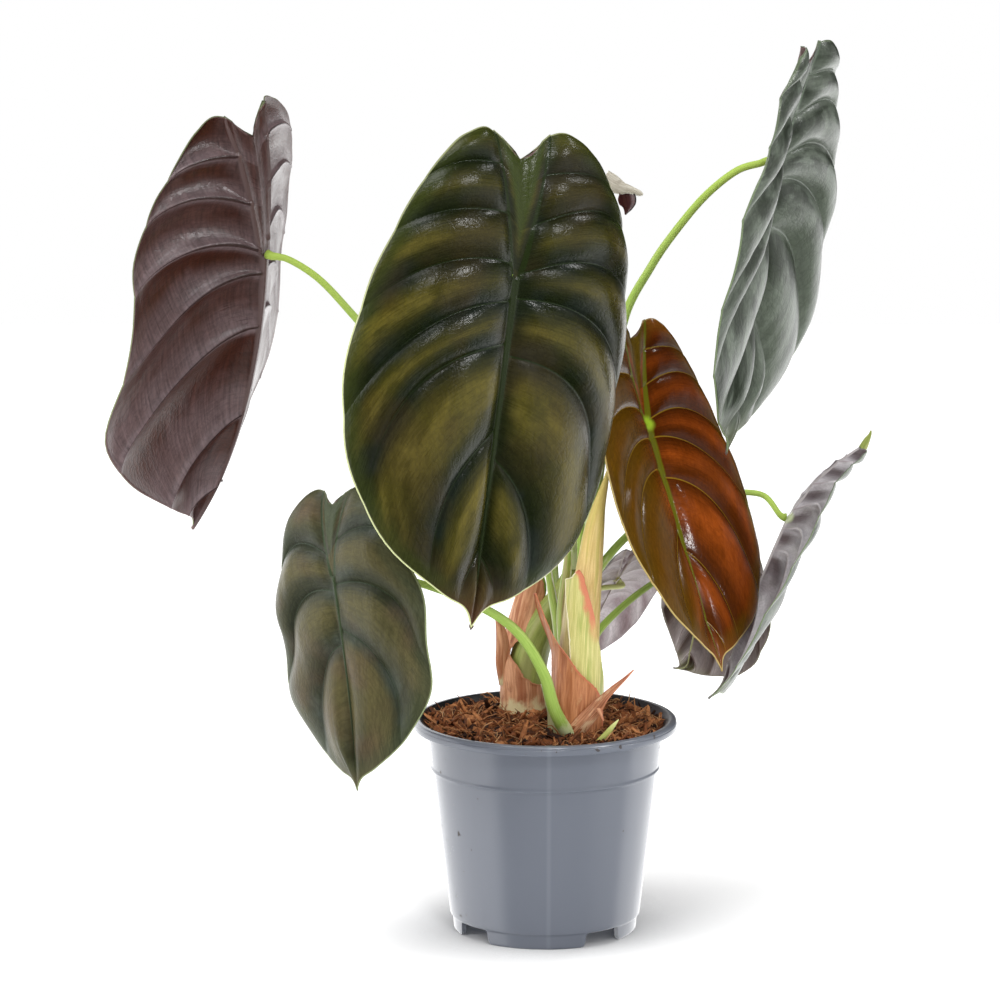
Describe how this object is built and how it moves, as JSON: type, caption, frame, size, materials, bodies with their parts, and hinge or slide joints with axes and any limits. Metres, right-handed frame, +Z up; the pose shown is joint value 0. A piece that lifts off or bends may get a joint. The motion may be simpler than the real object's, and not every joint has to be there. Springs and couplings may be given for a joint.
{
  "type": "potted alocasia",
  "caption": "Potted alocasia with quilted heart-lobed leaf blades on long arched petioles, rising from sheathed shoots in a round tapered nursery pot filled with coir.",
  "frame": {"origin": "centre of the footprint of the whole plant, on the surface that the pot's feet stand on", "axes": "+Z up along the pot's axis; -Y faces the viewer of the front view, +X to that viewer's right"},
  "size_m": [0.3512, 0.2794, 0.4051],
  "materials": {
    "pot_plastic": "satin, faint mould sheen",
    "coir": "rough fibrous",
    "petiole_green": "waxy semi-gloss",
    "shoot_green": "waxy semi-matte",
    "sheath_pale": "dry satin",
    "sheath_dry": "papery matte",
    "blade_olive": "waxy metallic sheen",
    "blade_grey": "waxy pale sheen",
    "blade_copper": "glossy",
    "blade_underside": "waxy satin"
  },
  "bodies": {
    "root": {"blade_back_high": "blade_underside", "blade_back_low": "blade_underside", "blade_copper": "blade_copper", "blade_front": "blade_olive", "blade_high_right": "blade_grey", "blade_left": "blade_underside", "blade_low_left": "blade_grey", "blade_low_right": "blade_underside", "blade_right_under": "blade_underside", "left_dry_sheath": "sheath_dry", "left_shoot": "shoot_green", "main_dry_sheath": "sheath_dry", "main_outer_sheath": "sheath_pale", "main_shoot": "shoot_green", "new_shoot": "petiole_green", "nursery_pot": "pot_plastic", "petiole_back_high": "petiole_green", "petiole_back_low": "petiole_green", "petiole_copper": "petiole_green", "petiole_front": "petiole_green", "petiole_high_right": "petiole_green", "petiole_left": "petiole_green", "petiole_low_left": "petiole_green", "petiole_low_right": "petiole_green", "petiole_right_under": "petiole_green", "spike_wrap": "sheath_dry", "substrate": "coir"}
  },
  "joints": []
}
